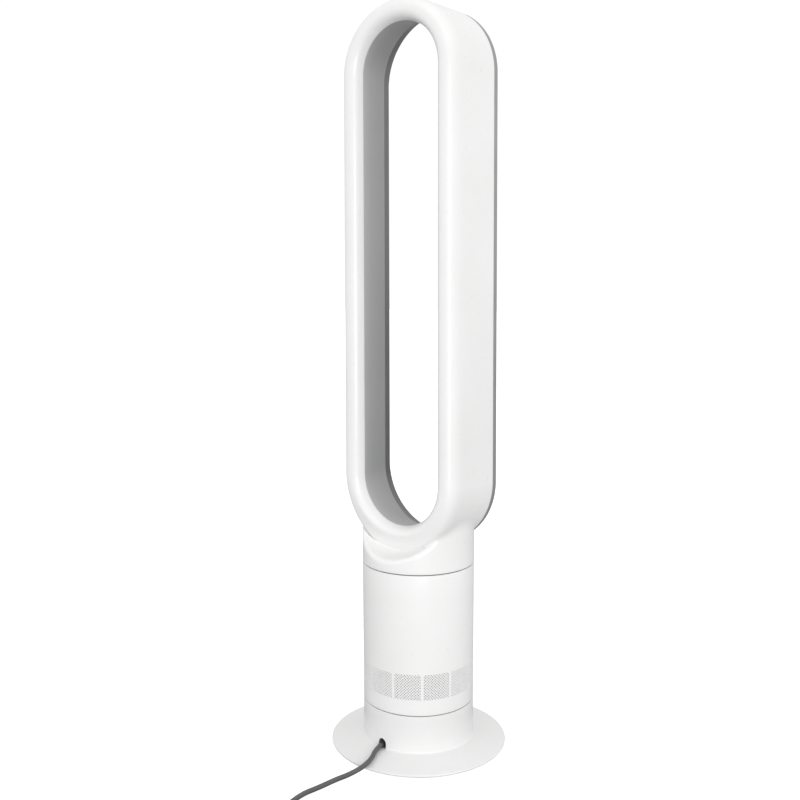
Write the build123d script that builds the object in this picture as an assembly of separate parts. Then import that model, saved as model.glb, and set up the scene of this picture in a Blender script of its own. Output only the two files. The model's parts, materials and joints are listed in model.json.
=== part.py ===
from build123d import *
import math
import os

# Tall air-loop fan. Millimetres, +Z up. The origin is on the floor, on the foot's axis.
# -Y is the front (air leaves there), +Y the rear (mains cord), +X the user's right from behind.

# ---------------------------------------------------------------- driving dimensions
FOOT_R = 120.5          # rim radius of the round foot
RIM_H = 4.6             # height of the rim
FLANGE_R_IN = 79.4      # where the shallow cone ends
FLANGE_Z_IN = 11.2      # a small concave fillet joins it to the neck
NECK_R = 76.0
NECK_TOP = 61.6         # lower face of the turning seam
HEAD_BOT = 62.8         # upper face of the turning seam
WALL = 2.4
BODY_R_BOT = 75.95      # turning body, radius at its foot
BODY_R_TOP = 77.05      # and at its top
BODY_TOP = 251.4        # lower face of the clip-on seam
COLLAR_BOT = 252.6      # upper face of the clip-on seam
COLLAR_R = 77.1
BAND_LO, BAND_HI = 83.8, 118.9     # perforated air intake
RIB_W = 1.8             # plain rib between two intake panels
RIB_PHASE = 100.5       # polar angle of one rib
N_PANEL = 12

LOOP_N = 93.75          # half the loop's width
LOOP_D = 105.45         # loop depth, front to rear
NOSE_T = 30.32          # thickness of the rounded rear nose
NOSE_RY = 24.75         # its depth semi-axis
NOSE_P = 2.63           # squareness of the nose
SPINE_LO, SPINE_HI = 371.4, 912.65  # centres of the lower and upper arcs
BAND_Y = -43.3          # where the white casing meets the grey front band

SWEEP = 35.0            # oscillation each way, degrees
GEAR_M = 1.0
PINION_Z = 16
RING_Z = 80

BUTTON_Z = 33.0
CORD_D = 6.3
COIL_C = (-26.7, 308.0)
COIL_RI, COIL_RO, COIL_H = 26.6, 45.8, 19.4

os.makedirs("parts", exist_ok=True)
NODES = {}


def keep(name, shape):
    solids = shape.solids()
    out = solids[0] if len(solids) == 1 else Compound(children=list(solids))
    NODES[name] = out
    export_step(out, "parts/" + name + ".step")


def ring(r0, r1, z0, z1):
    s = Pos(0, 0, z0) * Cylinder(r1, z1 - z0, align=(Align.CENTER, Align.CENTER, Align.MIN))
    if r0 > 0:
        s -= Pos(0, 0, z0 - 1) * Cylinder(r0, z1 - z0 + 2, align=(Align.CENTER, Align.CENTER, Align.MIN))
    return s


def box(x0, x1, y0, y1, z0, z1):
    return Pos((x0 + x1) / 2, (y0 + y1) / 2, (z0 + z1) / 2) * Box(x1 - x0, y1 - y0, z1 - z0)


def cyl(x, y, z0, z1, r):
    return Pos(x, y, z0) * Cylinder(r, z1 - z0, align=(Align.CENTER, Align.CENTER, Align.MIN))


def cyl_y(x, z, y0, y1, r):
    return Pos(x, (y0 + y1) / 2, z) * (Rot(90, 0, 0) * Cylinder(r, y1 - y0))


def cone(r0, r1, z0, z1):
    return Pos(0, 0, z0) * Cone(r0, r1, z1 - z0, align=(Align.CENTER, Align.CENTER, Align.MIN))


def lathe(pts):
    """Closed profile of (radius, z) points, turned about Z."""
    wire = Polyline(*[(r, 0, z) for r, z in pts], close=True)
    return revolve(make_face(wire), Axis.Z, 360)


def polar(r, deg):
    return r * math.cos(math.radians(deg)), r * math.sin(math.radians(deg))


def group(items):
    return Compound(children=[s for it in items for s in it.solids()])


# ---------------------------------------------------------------- foot and neck (fixed body)
outer = Polyline((0, 0, 1.2), (118.6, 0, 1.2)) + ThreePointArc((118.6, 0, 1.2), (119.95, 0, 1.75), (FOOT_R, 0, 3.0)) \
    + ThreePointArc((FOOT_R, 0, 3.0), (120.1, 0, 4.1), (118.9, 0, RIM_H)) \
    + Line((118.9, 0, RIM_H), (FLANGE_R_IN, 0, FLANGE_Z_IN)) \
    + ThreePointArc((FLANGE_R_IN, 0, FLANGE_Z_IN), (77.05, 0, 12.35), (NECK_R, 0, 14.9)) \
    + Polyline((NECK_R, 0, 14.9), (BODY_R_BOT, 0, NECK_TOP), (0, 0, NECK_TOP), (0, 0, 1.2))
foot = revolve(make_face(outer), Axis.Z, 360)
hollow = lathe([(0, 0), (113.2, 0), (113.2, 3.7), (79.0, 9.0), (73.4, 9.9), (73.4, 70), (0, 70)])
foot = foot - hollow

NOTCH_X, NOTCH_W, NOTCH_LO, NOTCH_HI = 4.1, 12.6, 11.0, 24.4


def arch(y0, y1, grow=0.0):
    """Arch-shaped bar along Y, at the cord notch."""
    r = NOTCH_W / 2 + grow
    zc = NOTCH_HI - NOTCH_W / 2
    return box(NOTCH_X - r, NOTCH_X + r, y0, y1, NOTCH_LO - grow, zc) + cyl_y(NOTCH_X, zc, y0, y1, r)


foot -= arch(60, 95)
foot -= cyl_y(0, BUTTON_Z, -90, -60, 8.0)    # power button hole
bosses = [polar(70.4, a) for a in (35, 145, 215, 325)]
for bx, by in bosses:
    foot += cyl(bx, by, 8.4, 30, 4.6) & ring(0, 74.5, 0, 40)
for bx, by in bosses:
    foot -= cyl(bx, by, 5, 24, 1.55)
keep("foot_shell", foot)

cover = ring(0, 113.0, 1.2, 3.6)
for bx, by in bosses:
    cover -= cyl(bx, by, 0, 6, 2.0)
    cover -= cyl(bx, by, 0, 2.2, 4.2)
for k in range(5):
    cover -= box(-14, 14, -9 + 4.2 * k, -7 + 4.2 * k, 0, 6)
keep("foot_bottom_cover", cover)

ballast = ring(28, 83.4, 3.7, 8.2)
for bx, by in bosses:
    ballast -= cyl(bx, by, 0, 12, 2.3)
keep("ballast_ring", ballast)
keep("rubber_ring_foot", ring(97, 107, 0, 1.2))
keep("foot_screws", group([cyl(bx, by, 1.0, 2.2, 3.6) + cyl(bx, by, 2.2, 20, 1.5) for bx, by in bosses]))

# bearing plate that carries the turning body
plate = ring(11.0, 73.3, 46, 49) + ring(58, 71, 49, 57.5)
PX = -(RING_Z - PINION_Z) * GEAR_M / 2
plate -= cyl(PX, 0, 40, 52, 5.2)
M_EAR = [(PX, 21.5), (PX, -21.5)]
for x, y in M_EAR:
    plate -= cyl(x, y, 40, 60, 1.6)
P_SCR = [polar(64.5, a) for a in (60, 120, 240, 300)]
for x, y in P_SCR:
    plate -= cyl(x, y, 40, 60, 1.7)
    plate -= cyl(x, y, 54.4, 60, 3.1)
keep("bearing_plate", plate)
keep("glide_ring", ring(60, 69.5, 57.5, 60.4))
keep("plate_pillars", group([cyl(x, y, 8.2, 46, 4.2) - cyl(x, y, 32, 50, 1.4) for x, y in P_SCR]))
keep("plate_screws", group([cyl(x, y, 54.5, 57.2, 2.8) + cyl(x, y, 34, 54.5, 1.35) for x, y in P_SCR]))
keep("pivot_tube", ring(8, 11.0, 40, 74.5))
keep("pivot_retainer", ring(11.0, 17.5, 71.3, 73.3))

# oscillation motor, below the plate
motor = cyl(PX, 0, 24, 45.6, 17.5) + box(PX - 4.5, PX + 4.5, -25.5, 25.5, 44.2, 45.6) + cyl(PX, 0, 45.5, 46.0, 4.8)
for x, y in M_EAR:
    motor -= cyl(x, y, 40, 50, 1.6)
motor -= cyl(PX, 0, 36, 60, 2.6)
keep("oscillation_motor", motor)
keep("motor_screws", group([cyl(x, y, 42.0, 44.2, 2.8) + cyl(x, y, 44.2, 49, 1.4) for x, y in M_EAR]))


def inv(a):
    return math.tan(a) - a


def tooth_half(z, r, sign):
    """Half angle of a tooth (sign -1) or of a ring gear's space (sign +1) at radius r."""
    pa = math.radians(20)
    rp = GEAR_M * z / 2
    rb = rp * math.cos(pa)
    rr = max(r, rb)
    return math.pi / 2 / z + sign * 0.16 / rp + inv(pa) - inv(math.acos(rb / rr))


ra, rf = PINION_Z * GEAR_M / 2 + 0.85, PINION_Z * GEAR_M / 2 - 1.2
pts = []
for k in range(PINION_Z):
    c = math.pi + 2 * math.pi * k / PINION_Z
    rs = [rf, 7.52, 8.0, 8.45, ra]
    for r in rs:
        pts.append((r * math.cos(c - tooth_half(PINION_Z, r, -1)), r * math.sin(c - tooth_half(PINION_Z, r, -1))))
    for r in reversed(rs):
        pts.append((r * math.cos(c + tooth_half(PINION_Z, r, -1)), r * math.sin(c + tooth_half(PINION_Z, r, -1))))
pinion = extrude(Pos(PX, 0, 49.6) * make_face(Polyline(*pts, close=True)), amount=7.2)
pinion += cyl(PX, 0, 37, 49.7, 2.5)
keep("oscillation_pinion", pinion)

ri, rr_ = RING_Z * GEAR_M / 2 - 0.85, RING_Z * GEAR_M / 2 + 1.2
SECT = 54.0
sector = ring(ri, 46.5, 50.4, 60.8)
wedge_pts = [(0, 0)] + [polar(90, 180 - SECT + i * SECT / 3) for i in range(7)]
sector = sector & extrude(Pos(0, 0, 45) * make_face(Polyline(*wedge_pts, close=True)), amount=20)
spaces = []
for k in range(-11, 12):
    c = math.pi + 2 * math.pi * k / RING_Z
    rs = [ri - 0.4, 39.6, 40.0, 40.6, rr_]
    loc = []
    for r in rs:
        h = tooth_half(RING_Z, r, 1)
        loc.append((r * math.cos(c - h), r * math.sin(c - h)))
    for r in reversed(rs):
        h = tooth_half(RING_Z, r, 1)
        loc.append((r * math.cos(c + h), r * math.sin(c + h)))
    spaces.append(extrude(Pos(0, 0, 48) * make_face(Polyline(*loc, close=True)), amount=10.4))
sector = sector - spaces
keep("ring_gear_sector", sector)

# ---------------------------------------------------------------- controls in the neck
btn = cyl_y(0, BUTTON_Z, -77.0, -71.6, 7.7)
btn = btn & (ring(0, 76.6, 10, 60) + cyl_y(0, BUTTON_Z, -72.5, -60, 9))
btn += cyl_y(0, BUTTON_Z, -72.3, -70.9, 9.4)
btn += cyl_y(0, BUTTON_Z, -71.0, -65.6, 2.2)
keep("power_button", btn)
board = box(-26, 26, -61.0, -59.4, 22, 44.5)
keep("main_board", board)
keep("button_switch", box(-3.1, 3.1, -63.4, -61.0, BUTTON_Z - 3.1, BUTTON_Z + 3.1) + cyl_y(0, BUTTON_Z, -64.3, -63.3, 1.7))
keep("board_parts", group([cyl_y(18, 30, -59.4, -46, 5), box(-22, -8, -59.4, -46, 26, 38), cyl_y(6, 28, -59.4, -51, 3.2)]))
keep("board_bracket", group([box(-24, -18, -62.0, -52, 8.2, 22.0), box(18, 24, -62.0, -52, 8.2, 22.0)]))

# ---------------------------------------------------------------- cord exit
EXIT_X, EXIT_Y, EXIT_Z = 4.7, 78.0, 16.0
gland = (arch(67.5, 73.4, -0.15) + arch(62.5, 67.6, 2.0))
snout = Pos(EXIT_X, 48, EXIT_Z) * (Rot(-90, 0, 0) * Cone(6.6, 4.1, 30, align=(Align.CENTER, Align.CENTER, Align.MIN)))
gland = gland + snout
keep("cord_grommet", gland)
keep("cord_clamp", box(EXIT_X - 9, EXIT_X + 9, 36, 46, 8.2, 22.5) - cyl_y(EXIT_X, EXIT_Z, 30, 50, CORD_D / 2 + 0.05))
keep("clamp_screws", group([cyl(EXIT_X + s * 6.4, 41, 22.5, 24.3, 2.4) for s in (-1, 1)]))
keep("inner_lead", cyl_y(EXIT_X, EXIT_Z, 26, 48, CORD_D / 2))

# ---------------------------------------------------------------- mains cord, coil, tie, plug
ROUTE = [(4.7, 78.0, 16.0), (3.0, 93.0, 14.2), (1.8, 110.0, 11.2), (1.9, 128.0, 7.4), (3.6, 146.5, 4.0),
         (5.6, 169.0, 3.3), (10.4, 193.0, 3.3), (13.0, 222.0, 3.3), (11.6, 254.0, 3.3), (14.6, 284.0, 3.3),
         (15.6, 303.0, 3.3)]


def radii(points, share=0.45):
    out = []
    for a, b, c in zip(points, points[1:], points[2:]):
        u, w = Vector(*b) - Vector(*a), Vector(*c) - Vector(*b)
        half = math.radians(u.get_angle(w)) / 2
        out.append(share * min(u.length, w.length) / math.tan(half))
    return out


def tube(name, points, d):
    rl = radii(points)
    print(name, "corner radii", [round(r, 1) for r in rl])
    path = FilletPolyline(*points, radius=rl)
    start = Plane(origin=path @ 0, z_dir=path % 0)
    body = sweep(start * Circle(d / 2), path=path)
    want = math.pi * d * d / 4 * path.length
    print(name, "length %.1f" % path.length, "volume %.0f of %.0f" % (body.volume, want))
    return body


keep("cord_tube", tube("cord_tube", ROUTE, CORD_D))
coil = ring(COIL_RI, COIL_RO, 0, COIL_H)
coil = fillet(coil.edges(), 2.6)
coil = Pos(COIL_C[0], COIL_C[1], 0) * coil
keep("cord_coil", coil)
tie = Pos(COIL_C[0], COIL_C[1], 0) * (Rot(0, 0, 118) * (box(COIL_RI - 1.5, COIL_RO + 1.5, -3, 3, 0.0, COIL_H + 1.4) - box(COIL_RI - 0.3, COIL_RO + 0.2, -5, 5, -1, COIL_H)))
keep("cord_tie", tie)
TAIL = [(-68.5, 301.0, 3.4), (-70.1, 291.0, 4.8), (-72.5, 281.5, 6.6), (-75.3, 272.0, 6.8)]
keep("cord_tail", tube("cord_tail", TAIL, CORD_D))

# two-pin plug lying on the floor beside the coil, pins away from it
pdir = math.degrees(math.atan2(TAIL[3][1] - TAIL[2][1], TAIL[3][0] - TAIL[2][0]))
plug2d = make_face(Polyline((0, -5.0), (8, -6.2), (16, -11.5), (34, -12.5), (34, 12.5), (16, 11.5), (8, 6.2), (0, 5.0), close=True))
plug = extrude(plug2d, amount=13.6)
plug = fillet(plug.edges().filter_by(Axis.Z), 1.4)
plug = chamfer(plug.edges().group_by(Axis.Z)[-1], 1.2)
PLUG_L = Location((TAIL[3][0], TAIL[3][1], 0), (0, 0, pdir))
keep("plug_body", PLUG_L * plug)
keep("plug_pins", group([PLUG_L * (Pos(34, s * 9.2, 6.8) * (Rot(0, 90, 0) * Cylinder(2.0, 19, align=(Align.CENTER, Align.CENTER, Align.MIN)))) for s in (-1, 1)]))

# ---------------------------------------------------------------- turning body: turntable
turn = ring(11.08, 73.2, 60.8, 64.4) + ring(11.08, 19, 64.4, 71.0)
T_SCR = [polar(69.8, a) for a in (45, 135, 225, 315)]
for x, y in T_SCR:
    turn -= cyl(x, y, 50, 80, 1.7)
turn -= cyl(0, 45, 50, 80, 7.5)
keep("turntable", turn)


def body_r(z):
    return BODY_R_BOT + (BODY_R_TOP - BODY_R_BOT) * (z - HEAD_BOT) / (BODY_TOP - HEAD_BOT)


shell = cone(body_r(HEAD_BOT), body_r(BODY_TOP), HEAD_BOT, BODY_TOP) - cone(body_r(HEAD_BOT) - WALL, body_r(BODY_TOP) - WALL, HEAD_BOT - 0.01, BODY_TOP + 0.01)
lug = group([cyl(x, y, 64.4, 79, 4.4) & ring(0, 74.6, 60, 90) for x, y in T_SCR])
shell = shell + lug.solids()
for x, y in T_SCR:
    shell -= cyl(x, y, 60, 76, 1.4)
win = []
pitch = 360.0 / N_PANEL
half_w = pitch / 2 - math.degrees(RIB_W / 2 / body_r(100))
sect2d = [(0, 0)] + [polar(95, -half_w + i * half_w / 2) for i in range(5)]
pane = extrude(Pos(0, 0, BAND_LO) * make_face(Polyline(*sect2d, close=True)), amount=BAND_HI - BAND_LO) & ring(70, 90, BAND_LO, BAND_HI)
panes = [Rot(0, 0, RIB_PHASE + pitch * (i + 0.5)) * pane for i in range(N_PANEL)]
shell = shell - panes
shell -= cyl_y(0, 150, -90, -60, 9.3)        # display window
keep("body_cover", shell)
keep("body_screws", group([cyl(x, y, 60.9, 75, 1.35) for x, y in T_SCR]))

# intake grille: pads that fill the cover's openings, on a ring behind them, with slots
in2d = [(0, 0)] + [polar(95, -half_w + 0.1 + i * (half_w - 0.1) / 2) for i in range(5)]
pad = extrude(Pos(0, 0, BAND_LO + 0.1) * make_face(Polyline(*in2d, close=True)), amount=BAND_HI - BAND_LO - 0.2)
pad = pad & (ring(72.0, body_r(100) - 0.05, BAND_LO, BAND_HI))
grille = ring(71.9, 73.3, BAND_LO - 3, BAND_HI + 3)
for i in range(N_PANEL):
    grille += Rot(0, 0, RIB_PHASE + pitch * (i + 0.5)) * pad
slot2d = [(0, 0)] + [polar(95, -half_w + 1.6 + i * (half_w - 1.6) / 2) for i in range(5)]
slots = []
for j in range(5):
    z0 = BAND_LO + 3.2 + 6.2 * j
    s = extrude(Pos(0, 0, z0) * make_face(Polyline(*slot2d, close=True)), amount=3.4) & ring(68, 90, z0, z0 + 3.4)
    for i in range(N_PANEL):
        slots.append(Rot(0, 0, RIB_PHASE + pitch * (i + 0.5)) * s)
grille = grille - slots
keep("intake_grille", grille)
keep("intake_filter", ring(69.6, 71.4, 80.5, 122))

# ---------------------------------------------------------------- fan unit inside the turning body
housing = lathe([(64.5, 124), (66.5, 124), (66.5, 126), (60.5, 134), (60.5, 150), (68.5, 170), (68.5, 246), (66.5, 246), (66.5, 171), (58.5, 151), (58.5, 133)])
keep("impeller_housing", housing)
keep("housing_mounts", group([box(68.5, 73.2, -5, 5, 172, 184), Rot(0, 0, 90) * box(68.5, 73.2, -5, 5, 172, 184), Rot(0, 0, 180) * box(68.5, 73.2, -5, 5, 172, 184), Rot(0, 0, 270) * box(68.5, 73.2, -5, 5, 205, 217)]))
keep("duct_gasket", ring(66.6, 74.2, 246, 250.5))
bucket = lathe([(8.0, 171), (44, 171), (46, 175), (46, 226), (43.6, 226), (43.6, 176), (42.6, 173.4), (12, 173.4), (12, 180), (8.0, 180)])
keep("motor_bucket", bucket)
cap = lathe([(8.0, 219), (12, 219), (12, 226), (46, 226), (42, 236), (30, 243), (14, 246), (0, 246.6), (0, 243), (13, 242.6), (28.6, 239.6), (39.6, 233.6), (41.5, 228.4), (8.0, 228.4)])
keep("bucket_cap", cap)
vane = (Rot(0, 0, 0) * (Pos(56.2, 0, 190) * (Rot(28, 0, 0) * Box(24, 1.8, 34)))) & ring(46.0, 66.5, 176, 206)
keep("diffuser_vanes", group([Rot(0, 0, 360 / 9 * i) * vane for i in range(9)]))
hub = lathe([(3.0, 132), (16, 132), (22, 138), (34, 162), (36.5, 168.5), (3.0, 168.5)])
blade = (Pos(38, 0, 148) * (Rot(38, 0, 0) * Box(60, 1.7, 60))) & lathe([(14, 134.5), (57.2, 134.5), (57.2, 150.5), (62, 163), (62, 166), (24, 166), (14, 140)])
blade = blade & box(0, 90, -60, 60, 120, 170)
imp = hub
for i in range(9):
    imp = imp + Rot(0, 0, 40 * i) * blade
keep("impeller", imp)
keep("rotor_shaft", cyl(0, 0, 126.5, 232, 3.0))
keep("impeller_nut", lathe([(3.0, 128), (6.0, 128), (6.0, 132), (3.0, 132)]))
keep("motor_rotor", ring(3.0, 15.5, 184, 212))
st = ring(16.3, 34, 185, 211)
for i in range(6):
    st -= Rot(0, 0, 60 * i + 30) * box(20, 30, -4.5, 4.5, 180, 215)
keep("motor_stator", st)
keep("stator_windings", group([Rot(0, 0, 60 * i) * (box(21, 28, -8.6, 8.6, 211, 214.5)) for i in range(6)]))
keep("stator_ring", ring(34, 43.6, 192, 204))
keep("motor_bearings", group([ring(3.05, 8.0, 173.6, 179.6), ring(3.05, 8.0, 220.4, 226.4)]))

# ---------------------------------------------------------------- display in the turning body's front
dw = cyl_y(0, 150, -90, -60, 9.2) & (cone(body_r(HEAD_BOT) - 0.05, body_r(BODY_TOP) - 0.05, HEAD_BOT, BODY_TOP) - cone(body_r(HEAD_BOT) - WALL, body_r(BODY_TOP) - WALL, HEAD_BOT - 0.01, BODY_TOP + 0.01)) & box(-20, 20, -90, -60, 130, 170)
keep("display_window", dw)
keep("display_board", box(-12, 12, -71.6, -70.0, 138, 162))

# ---------------------------------------------------------------- the loop
NC = LOOP_N - NOSE_T / 2
YC = LOOP_D / 2 - NOSE_RY
YF = -LOOP_D / 2


def nose(t, a0, a1, k=9):
    """Points on the rounded rear nose, moved in by t, between the angles a0 and a1 (0 is outward)."""
    out = []
    for i in range(k):
        a = math.radians(a0 + (a1 - a0) * i / (k - 1))
        c, s = math.cos(a), math.sin(a)
        rx, ry = NOSE_T / 2 - t, NOSE_RY - t
        out.append((NC + rx * math.copysign(abs(c) ** (2 / NOSE_P), c), YC + ry * math.copysign(abs(s) ** (2 / NOSE_P), s)))
    return out


LIP_A = 162.0            # the white casing's inner lip ends here on the nose
po = nose(0, 0, LIP_A, 15)
pi_ = nose(WALL, 0, LIP_A - 3, 13)


def spl(pts):
    return Spline(*[(n, y, 0) for n, y in pts])


w_outer = Line((LOOP_N, BAND_Y, 0), (LOOP_N, YC, 0)) + spl(po)
white = w_outer + Line((po[-1][0], po[-1][1], 0), (pi_[-1][0], pi_[-1][1], 0)) + spl(pi_) \
    + Polyline((LOOP_N - WALL, YC, 0), (LOOP_N - WALL, BAND_Y, 0), (LOOP_N, BAND_Y, 0))
white_sec = make_face(white)
e = 2.2
silver_pts = [(LOOP_N, BAND_Y), (LOOP_N, -51.2), (93.1, -52.3), (92.0, YF), (91.3, -52.3), (84.2, -32.6), (67.9, 37.0), (67.9, 41.2),
              (68.9, 42.4), (69.9, 41.4), (70.3, 37.4), (86.6, -33.3), (89.3, -40.2), (91.3, -40.2), (91.3, BAND_Y)]
silver_sec = make_face(Polyline(*[(n, y, 0) for n, y in silver_pts], close=True))


def stadium(sec):
    """The section carried round the loop: two straight limbs and two half turns."""
    L = SPINE_HI - SPINE_LO
    right = extrude(Pos(0, 0, SPINE_LO) * sec, amount=L)
    left = mirror(right, about=Plane.YZ)
    top = revolve(Pos(0, 0, SPINE_HI) * sec, Axis((0, 0, SPINE_HI), (0, 1, 0)), 180)
    if top.bounding_box().max.Z < SPINE_HI + 10:
        top = revolve(Pos(0, 0, SPINE_HI) * sec, Axis((0, 0, SPINE_HI), (0, 1, 0)), -180)
    bot = revolve(Pos(0, 0, SPINE_LO) * sec, Axis((0, 0, SPINE_LO), (0, 1, 0)), -180)
    if bot.bounding_box().min.Z > SPINE_LO - 10:
        bot = revolve(Pos(0, 0, SPINE_LO) * sec, Axis((0, 0, SPINE_LO), (0, 1, 0)), 180)
    return right + left + top + bot


white_loop = stadium(white_sec)
silver_loop = stadium(silver_sec)

# collar under the loop: it runs into the casing's wall all round, and the grey front band stays clear of it
T_IN = 1.2
n_in = nose(T_IN, 0, 90, 9)
env_wire = Polyline((0, -85, 0), (LOOP_N + 0.06, -85, 0), (LOOP_N + 0.06, BAND_Y + 0.7, 0), (LOOP_N - T_IN, BAND_Y + 0.7, 0), (LOOP_N - T_IN, YC, 0)) \
    + spl(n_in) + Polyline((NC, LOOP_D / 2 - T_IN, 0), (0, LOOP_D / 2 - T_IN, 0), (0, -85, 0))
env = revolve(Pos(0, 0, SPINE_LO) * make_face(env_wire), Axis((0, 0, SPINE_LO), (0, 1, 0)), 360)
# its top is a shelf round the loop's axis, with a hollow fillet up to the casing behind and in front; points are (radius, y)
shelf = [(80, -43.3), (93.9, -43.3), (97.4, -43.9), (100.8, -46.0), (103.2, -50.0), (104, -56), (104, -100), (150, -100), (150, 100),
         (104, 100), (104, 60), (103.7, 50), (102.6, 46.5), (100.2, 43.2), (97, 41.4), (93.8, 41.1), (90, 41.6), (80, 41.6)]
shelf_in = [(80, -40.9), (93.9, -40.9), (98.4, -41.7), (102.6, -44.4), (105.5, -49.2), (106.4, -56), (106.4, -100), (152, -100), (152, 100),
            (106.4, 100), (106.4, 60), (106.1, 49.7), (104.9, 45.4), (101.9, 41.3), (98.0, 39.1), (93.8, 38.7), (80, 38.7)]


def about_loop(pts):
    return revolve(make_face(Polyline(*[(n, y, SPINE_LO) for n, y in pts], close=True)), Axis((0, 0, SPINE_LO), (0, 1, 0)), 360)


solid_out = ring(0, COLLAR_R, COLLAR_BOT, 330) & about_loop(shelf)
solid_in = ring(0, COLLAR_R - WALL, COLLAR_BOT - 5, 327) & about_loop(shelf_in)
collar = solid_out - solid_in - env
throat = ring(0, 58, 262, 300) & box(-57, 57, -34, 26, 240, 301)
white_loop = (white_loop + collar) - throat
keep("loop_outer_shell", white_loop)
keep("loop_inner_shell", silver_loop)

SL, SH = SPINE_LO + 60, SPINE_HI - 60
sp = []
for i in range(5):
    z = SL + (SH - SL) * i / 4
    blk = box(67.05, 67.9, 38.9, 40.5, z - 3, z + 3)
    sp += [blk, mirror(blk, about=Plane.YZ)]
keep("slot_spacers", group(sp))
keep("loop_seal", ring(66.8, 74.4, 250.5, 254.2))
keep("loop_latches", group([box(-8, 8, s * 68.0 - 1.2, s * 68.0 + 1.2, 255.0, 263.6) for s in (-1, 1)]))

# ---------------------------------------------------------------- report sizes
lo = [min(getattr(s.bounding_box().min, a) for s in NODES.values()) for a in "XYZ"]
hi = [max(getattr(s.bounding_box().max, a) for s in NODES.values()) for a in "XYZ"]
print("nodes", len(NODES), "box", [round(v, 2) for v in lo], [round(v, 2) for v in hi])
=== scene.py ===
import bpy
import bmesh
import json
import math
import numpy as np
from mathutils import Matrix, Vector


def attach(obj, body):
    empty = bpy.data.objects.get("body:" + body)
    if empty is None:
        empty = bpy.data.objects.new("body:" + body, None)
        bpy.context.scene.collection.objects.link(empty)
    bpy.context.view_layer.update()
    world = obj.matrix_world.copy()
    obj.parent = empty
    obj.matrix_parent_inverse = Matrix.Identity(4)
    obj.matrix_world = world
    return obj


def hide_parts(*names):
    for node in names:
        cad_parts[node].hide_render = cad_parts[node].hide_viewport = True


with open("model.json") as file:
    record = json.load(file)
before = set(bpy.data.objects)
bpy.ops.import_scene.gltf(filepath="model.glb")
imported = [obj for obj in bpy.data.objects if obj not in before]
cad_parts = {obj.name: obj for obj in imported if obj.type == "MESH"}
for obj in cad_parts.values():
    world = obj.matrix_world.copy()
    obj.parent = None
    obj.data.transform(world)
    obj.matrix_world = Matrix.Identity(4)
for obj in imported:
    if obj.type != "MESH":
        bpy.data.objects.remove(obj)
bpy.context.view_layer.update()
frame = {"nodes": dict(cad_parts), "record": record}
NODES = frame["nodes"]
scene = bpy.context.scene
MM = 0.001

# ------------------------------------------------------------------ dimensions, in millimetres
FOOT_R, RIM_H = 120.5, 4.6
FLANGE_R_IN, FLANGE_Z_IN, NECK_R, NECK_TOP = 78.3, 11.38, 76.0, 61.6
HEAD_BOT, BODY_R_BOT, BODY_R_TOP, BODY_TOP = 62.8, 75.95, 77.05, 251.4
COLLAR_BOT, COLLAR_R, WALL = 252.6, 77.1, 2.4
BAND_LO, BAND_HI, RIB_W, RIB_PHASE, N_PANEL = 83.8, 118.9, 1.8, 100.5, 12
NOTCH_X, NOTCH_W, NOTCH_LO, NOTCH_HI = 4.1, 12.6, 11.0, 24.4
BUTTON_Z = 33.0
LOOP_N, LOOP_D, NOSE_T, NOSE_RY, NOSE_P = 93.75, 105.45, 30.32, 24.75, 2.63
SPINE_LO, SPINE_HI, BAND_Y, LIP_A = 371.4, 912.65, -43.3, 162.0
NC, YC, YF = LOOP_N - NOSE_T / 2, LOOP_D / 2 - NOSE_RY, -LOOP_D / 2
CORD_D = 6.3


# ------------------------------------------------------------------ camera
def place_camera():
    th, yaw, pitch, roll = 0.6432, -0.0182, 0.066, 0.0022
    dist, height, focal = 1.3612195, 0.641041, 999.0065
    c, s = math.cos(th), math.sin(th)
    right, fwd, down = Vector((-c, -s, 0)), Vector((s, -c, 0)), Vector((0, 0, -1))
    right, fwd = right * math.cos(yaw) - fwd * math.sin(yaw), fwd * math.cos(yaw) + right * math.sin(yaw)
    fwd, down = fwd * math.cos(pitch) + down * math.sin(pitch), down * math.cos(pitch) - fwd * math.sin(pitch)
    right, down = right * math.cos(roll) + down * math.sin(roll), down * math.cos(roll) - right * math.sin(roll)
    data = bpy.data.cameras.new("camera")
    data.sensor_width = 36.0
    data.lens = focal / 800 * 36.0
    data.shift_x, data.shift_y = 0.0, -0.07
    data.clip_start, data.clip_end = 0.05, 60.0
    cam = bpy.data.objects.new("camera", data)
    scene.collection.objects.link(cam)
    up, back = -down, -fwd
    place = Vector((-s * dist, c * dist, height))
    cam.matrix_world = Matrix(((right.x, up.x, back.x, place.x), (right.y, up.y, back.y, place.y),
                               (right.z, up.z, back.z, place.z), (0, 0, 0, 1)))
    scene.camera = cam
    return cam


camera = place_camera()
scene.view_settings.view_transform = "Standard"
scene.view_settings.look = "None"


# ------------------------------------------------------------------ material helpers
def new_mat(name):
    m = bpy.data.materials.new(name)
    m.use_nodes = True
    nt = m.node_tree
    for n in list(nt.nodes):
        nt.nodes.remove(n)
    out = nt.nodes.new("ShaderNodeOutputMaterial")
    p = nt.nodes.new("ShaderNodeBsdfPrincipled")
    nt.links.new(p.outputs[0], out.inputs[0])
    return m, nt, p


def coords(nt, scale=1.0):
    t = nt.nodes.new("ShaderNodeTexCoord")
    mp = nt.nodes.new("ShaderNodeMapping")
    mp.inputs["Scale"].default_value = (scale, scale, scale) if not hasattr(scale, "__len__") else scale
    nt.links.new(t.outputs["Object"], mp.inputs["Vector"])
    return mp.outputs["Vector"]


def noise(nt, vec, scale, detail=3.0, rough=0.5):
    n = nt.nodes.new("ShaderNodeTexNoise")
    n.inputs["Scale"].default_value = scale
    n.inputs["Detail"].default_value = detail
    n.inputs["Roughness"].default_value = rough
    nt.links.new(vec, n.inputs["Vector"])
    return n.outputs["Fac"]


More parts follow.
